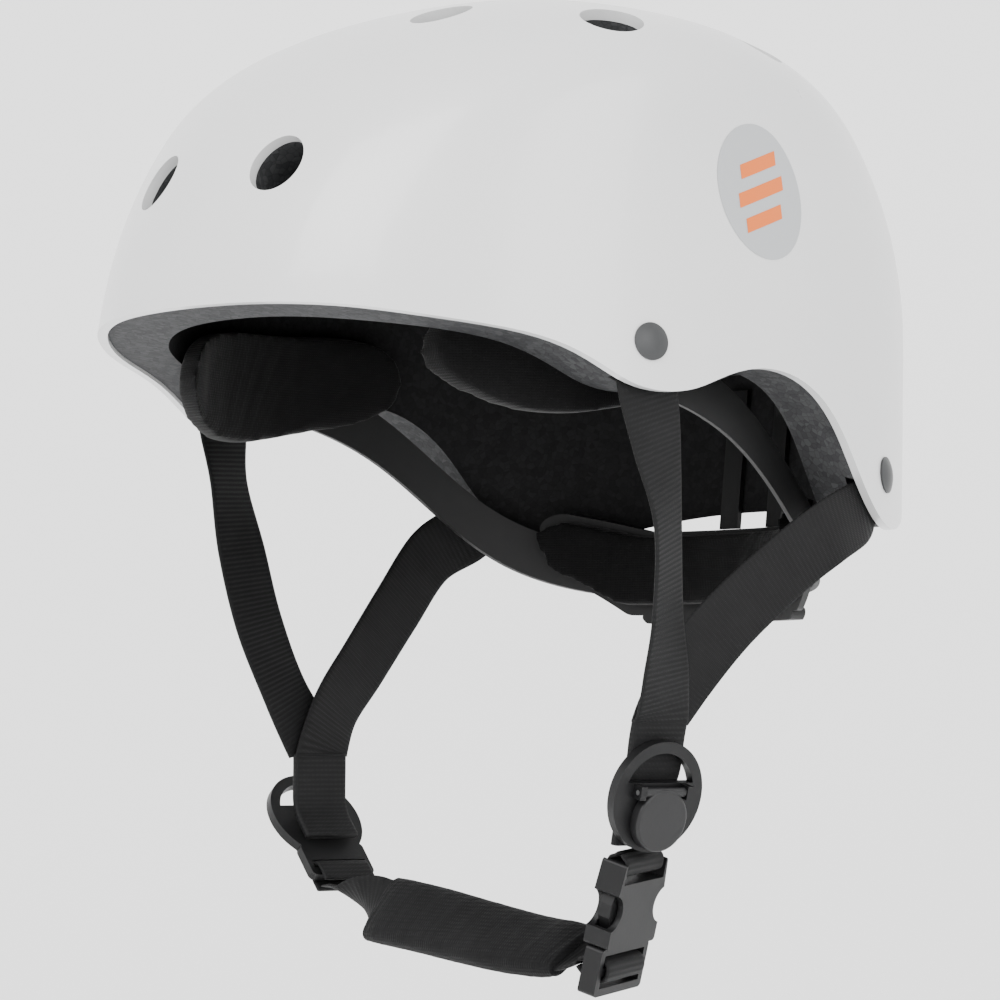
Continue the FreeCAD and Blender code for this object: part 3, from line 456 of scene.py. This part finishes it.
def hanging_strap(key):
    side, rivet, reach, hang = STRAPS[key]
    spot, normal = on_shell(*RIVETS[rivet], side, 3.0)
    run = RUNS[rivet]
    along = (run - normal * run.dot(normal)).normalized()
    stations = []
    for distance in (-8.0, 0.0, reach * 0.6, reach):
        stations.append((spot - normal * 4.9 + along * distance, normal))
    for x, y, z, turn in hang:
        turn = math.radians(turn)
        stations.append((Vector((x, y, z)), Vector((side * math.cos(turn), math.sin(turn), 0))))
    place, loop = (LEFT, LEFT_LOOP) if side > 0 else (RIGHT, RIGHT_LOOP)
    (y, z), (y_next, z_next) = loop[:2]
    down = axis(place, 0, y_next - y, z_next - z)
    outward = axis(place, 0, z - z_next, y_next - y)
    offset = 0.7 if rivet == 0 else -0.7
    stations.append((place @ Vector((0, y, z)) + down * 1.0 + outward * offset, outward))
    sections = fine_sections(stations, 0.4, last=down)
    obj = webbing("webbing_" + key, sections, STRAP_WIDTH, STRAP_THICK)
    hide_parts("strap_" + key)
    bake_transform(obj)


for key in STRAPS:
    hanging_strap(key)


def local_webbing(name, node, body, matrix, middle, thick, width=STRAP_WIDTH):
    obj = webbing(name, path_sections(matrix, middle), width, thick)
    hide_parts(node)
    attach(obj, body)
    return obj


local_webbing("webbing_loop_left", "strap_loop_left", "harness", LEFT,
              LEFT_LOOP + LOOP_END + [(6.0, BEND_Z - 0.2), (BEND_Y - 0.8, BEND_Z)], 2.6)
local_webbing("webbing_loop_right", "strap_loop_right", "harness", RIGHT,
              RIGHT_LOOP + LOOP_END + [(5.0, LOOP_Z)], 2.6)

WRAP = [(BEND_Y + 0.9, 0.7), (12.8, 1.6), (13.5, 2.8), (15.4, 3.3), (17.3, 2.8), (18.2, 0.0)]
WRAP += [(y, -z) for y, z in reversed(WRAP[:-1])]
local_webbing("webbing_buckle_wrap", "buckle_wrap", "harness", BUCKLE,
              [(y, LAYER_Z + z) for y, z in WRAP], 1.1)

LADDER = [(1.0, -LADDER_LEG), (2.3, -4.2), (3.1, -2.0), (3.1, 1.0), (2.2, 3.4), (0.0, 4.1)]
LADDER += [(-y, z) for y, z in reversed(LADDER[:-1])]
local_webbing("webbing_ladder_wrap", "ladder_wrap", "male_half", BUCKLE,
              [(LADDER_BAR + y, LAYER_Z + z) for y, z in LADDER], 1.3)

HOOK = [(21.2, 2.8), (17.5, 2.8), (14.6, 2.2), (13.6, 0.0), (14.6, -2.2), (17.5, -2.8), (21.2, -2.8)]
local_webbing("webbing_end_loop", "chin_loop", "harness", RIGHT, HOOK, 1.4, STRAP_WIDTH - 0.6)


# ------------------------------------------------------------------ chin strap and its pad
CHIN_LINE = ((52.0, -5.6, -183.0, 30), (30.0, -6.4, -181.6, 38), (6.0, -6.0, -178.9, 44),
             (-18.0, -5.0, -176.0, 50), (-42.5, -4.0, -173.6, 56))
CHIN_TWIST = ((-48.0, -3.2, -173.4, 75), (-55.5, -1.0, -173.2, 115), (-63.0, 2.0, -172.0, 150))


def tilted(tilt):
    tilt = math.radians(tilt)
    return Vector((0, math.sin(tilt), -math.cos(tilt)))


CHIN_STATIONS = [(BUCKLE @ Vector((0, LADDER_BAR, LAYER_Z - LADDER_LEG - 0.2)), axis(BUCKLE, 0, 1, 0))]
CHIN_STATIONS += [(Vector((x, y, z)), tilted(tilt)) for x, y, z, tilt in CHIN_LINE + CHIN_TWIST]
CHIN_STATIONS.append((RIGHT @ Vector((0, 21.8, 0)), axis(RIGHT, 0, 0, -1)))
CHIN_SECTIONS = fine_sections(CHIN_STATIONS, 0.5, axis(BUCKLE, 0, 0, -1), axis(RIGHT, 0, -1, 0))

chin = webbing("webbing_chin", CHIN_SECTIONS, STRAP_WIDTH, STRAP_THICK)
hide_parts("chin_strap")
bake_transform(chin)


def chin_sleeve():
    """Crowned sleeve with gathered ends and one sewn seam low on its face."""
    covered = [s for s in CHIN_SECTIONS if CHIN_LINE[-1][0] - 0.1 < s[0].x < CHIN_LINE[0][0] + 0.1]
    start = covered[0][3]
    length = covered[-1][3] - start

    def outline(distance, i):
        along = (distance - start) / length
        edge = min(along, 1 - along) * length
        close = min(1.0, 0.72 + 0.28 * math.sin(min(1.0, edge / 9.0) * math.pi / 2))
        ring = []
        for k in range(48):
            angle = 2 * math.pi * k / 48
            c = math.cos(angle)
            s = math.sin(angle)
            u = 11.3 * math.copysign(abs(c) ** 0.62, c) * (0.93 + 0.07 * close)
            v = 4.3 * math.copysign(abs(s) ** 0.8, s) * close
            pucker = 0.16 * math.sin(distance * 1.9 + k * 0.5) * math.exp(-edge / 7.0)
            sag = 0.12 * math.sin(distance * 0.35 + 2 * s) + 0.06 * math.sin(distance * 0.9 + 3 * c)
            groove = 0.55 * math.exp(-((u + 5.2) / 0.8) ** 2) if s > 0 else 0.0
            ring.append((u, v + math.copysign(pucker + sag * 0.6, v) - groove))
        return ring

    obj = swept("padded_sleeve", covered, outline, CHIN)
    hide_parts("chin_pad")
    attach(obj, "male_half")


chin_sleeve()


# ------------------------------------------------------------------ comfort pads
def swell(obj, pressure, cap):
    """Short cloth run with pressure; no point moves further than cap."""
    rest = [v.co.copy() for v in obj.data.vertices]
    cloth = obj.modifiers.new("cloth", "CLOTH")
    settings = cloth.settings
    settings.effector_weights.gravity = 0
    settings.use_pressure = True
    settings.uniform_pressure_force = pressure
    settings.tension_stiffness = 25
    settings.compression_stiffness = 25
    settings.bending_stiffness = 0.4
    cloth.collision_settings.use_collision = False
    scene = bpy.context.scene
    for number in range(1, 15):
        scene.frame_set(number)
    shaped = obj.evaluated_get(bpy.context.evaluated_depsgraph_get())
    moved = [v.co.copy() for v in shaped.data.vertices]
    obj.modifiers.remove(cloth)
    scene.frame_set(1)
    for vertex, old, new in zip(obj.data.vertices, rest, moved):
        shift = new - old
        if shift.length > cap:
            shift = shift.normalized() * cap
        vertex.co = old + shift


def apply(obj, kind, **values):
    modifier = obj.modifiers.new(kind, kind)
    for key, value in values.items():
        setattr(modifier, key, value)
    bpy.context.view_layer.objects.active = obj
    bpy.ops.object.modifier_apply(modifier=modifier.name)


def soft_pad(name, node, body, shrink=0.0007, pressure=2.5):
    """Pad grown from its CAD solid: rounded edges, filled out."""
    obj = bpy.data.objects.new(name, NODES[node].data.copy())
    bpy.context.scene.collection.objects.link(obj)
    obj.data.materials.clear()
    obj.data.materials.append(PAD)
    apply(obj, "REMESH", mode="VOXEL", voxel_size=0.0017)
    apply(obj, "SMOOTH", factor=0.5, iterations=6)
    bm = bmesh.new()
    bm.from_mesh(obj.data)
    bm.normal_update()
    for vertex in bm.verts:
        vertex.co -= vertex.normal * shrink
    bm.to_mesh(obj.data)
    bm.free()
    swell(obj, pressure, 0.0009)
    apply(obj, "SMOOTH", factor=0.5, iterations=2)
    apply(obj, "SUBSURF", levels=1)
    obj.data.polygons.foreach_set("use_smooth", [True] * len(obj.data.polygons))
    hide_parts(node)
    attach(obj, body)
    return obj


soft_pad("cushion_brow", "brow_pad", "helmet")
soft_pad("cushion_rear", "rear_pad", "helmet")
soft_pad("cushion_side_left", "side_pad_left", "helmet")
soft_pad("cushion_side_right", "side_pad_right", "helmet")
soft_pad("cushion_crown", "crown_pad", "helmet")
soft_pad("cushion_nape", "occipital_pad", "rear_cradle")


# ------------------------------------------------------------------ cradle strips copied from their CAD parts, rack teeth shortened
PINION_Z = -0.068            # height of the dial's axis
TOOTH_REACH = 0.0056         # from that axis to the tips of the rack teeth


def bending(name, node):
    obj = bpy.data.objects.new(name, NODES[node].data.copy())
    bpy.context.scene.collection.objects.link(obj)
    obj.data.materials.clear()
    obj.data.materials.append(CRADLE)
    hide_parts(node)
    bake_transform(obj)
    return obj


def shorten_teeth(obj):
    """Rack teeth end just clear of the pinion, so it can turn while the tongue stays put."""
    for vertex in obj.data.vertices:
        height = vertex.co.z - PINION_Z
        if vertex.co.y > 0.08 and abs(vertex.co.x) < 0.0175 and abs(height) < TOOTH_REACH:
            vertex.co.z = PINION_Z + math.copysign(TOOTH_REACH, height)


for hand, side in (("left", 1), ("right", -1)):
    band = bending("cradle_band_" + hand, "cradle_arm_" + hand)
    shorten_teeth(band)
    bending("cradle_strip_" + hand, "cradle_hanger_" + hand)


# ------------------------------------------------------------------ plain badge on the shell
def badge():
    """Plain tinted oval with three slanted bars, lying on the shell's left side."""
    centre_y = 22.0
    centre_z = 36.0
    turn = math.radians(20)

    def place(a, b, lift):
        y = centre_y + a * math.cos(turn) - b * math.sin(turn)
        z = centre_z + a * math.sin(turn) + b * math.cos(turn)
        point, normal = on_shell(y, z, 1)
        return point + normal * lift

    def patch(name, grid, lift, look):
        rows = len(grid)
        columns = len(grid[0])
        verts = [place(a, b, lift) for row in grid for a, b in row]
        faces = []
        for i in range(rows - 1):
            for k in range(columns - 1):
                faces.append((i * columns + k, i * columns + k + 1, (i + 1) * columns + k + 1,
                              (i + 1) * columns + k))
        obj = mesh_object(name, verts, faces, look)
        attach(obj, "helmet")

    oval = []
    for i in range(25):
        b = 20.0 * math.sin(math.pi * (i / 24 - 0.5))
        half = 17.0 * math.sqrt(max(0.0, 1 - (b / 20.0) ** 2)) + 0.02
        oval.append([(half * (k / 12 - 1), b) for k in range(25)])
    grey = material("badge_grey", (0.34, 0.35, 0.36), 0.4)
    n = Nodes(grey)
    n.finish(None, n.spread(n.noise(300), 0.34, 0.46), None)
    patch("badge_oval", oval, 0.12, grey)
    orange = material("badge_orange", (0.6, 0.115, 0.0), 0.4)
    n = Nodes(orange)
    n.finish(None, n.spread(n.noise(300), 0.34, 0.46), None)
    for number, (low, high, reach) in enumerate(((-9.5, -5.5, 8.0), (-2.0, 2.0, 10.0), (5.5, 9.5, 8.0))):
        bar = []
        for i in range(7):
            b = low + (high - low) * i / 6
            bar.append([(reach * (k / 10 - 1) + b * 0.3, b) for k in range(21)])
        patch("badge_bar_" + str(number), bar, 0.2, orange)


badge()


# ------------------------------------------------------------------ camera, light and ground
def stage():
    """Pale floor that curves up into a backdrop."""
    profile = [(-3.0, -0.34), (1.2, -0.34)]
    for i in range(1, 13):
        angle = math.pi / 2 * i / 12
        profile.append((1.2 + 0.8 * math.sin(angle), 0.46 - 0.8 * math.cos(angle)))
    profile.append((2.0, 3.5))
    verts = []
    for x in (-4.0, 4.0):
        verts += [Vector((x, y, z)) * 1000 for y, z in profile]
    count = len(profile)
    faces = [(i, i + 1, count + i + 1, count + i) for i in range(count - 1)]
    mat = material("ground_pale", (0.94, 0.94, 0.94), 0.9)
    n = Nodes(mat)
    n.finish(n.ramp(n.noise(3), [(0.2, (0.93, 0.93, 0.93)), (0.8, (0.95, 0.95, 0.95))]), None, None)
    floor = mesh_object("ground", verts, faces, mat)
    floor.rotation_euler = (0, 0, math.radians(51.4))


stage()

world = bpy.data.worlds.new("studio")
bpy.context.scene.world = world
world.use_nodes = True
world.node_tree.nodes["Background"].inputs[0].default_value = (1, 1, 1, 1)
world.node_tree.nodes["Background"].inputs[1].default_value = 2.1


def area_light(name, location, target, size, power):
    data = bpy.data.lights.new(name, "AREA")
    data.size = size
    data.energy = power
    obj = bpy.data.objects.new(name, data)
    bpy.context.scene.collection.objects.link(obj)
    obj.location = location
    obj.rotation_euler = (Vector(target) - Vector(location)).to_track_quat("-Z", "Y").to_euler()


area_light("key", (0.2, -1.3, 1.1), (0, 0, 0), 0.9, 24)
area_light("fill", (1.5, -0.1, 0.5), (0, 0, -0.05), 1.0, 14)

camera_data = bpy.data.cameras.new("camera")
camera_data.sensor_width = 36
camera_data.lens = 36 * 4.408
camera_data.clip_end = 20
camera = bpy.data.objects.new("camera", camera_data)
bpy.context.scene.collection.objects.link(camera)
camera.location = (1.0421, -0.8246, -0.1197)
aim = Vector((0.0099, 0, -0.0497)) - camera.location
camera.rotation_euler = aim.to_track_quat("-Z", "Y").to_euler()
bpy.context.scene.camera = camera
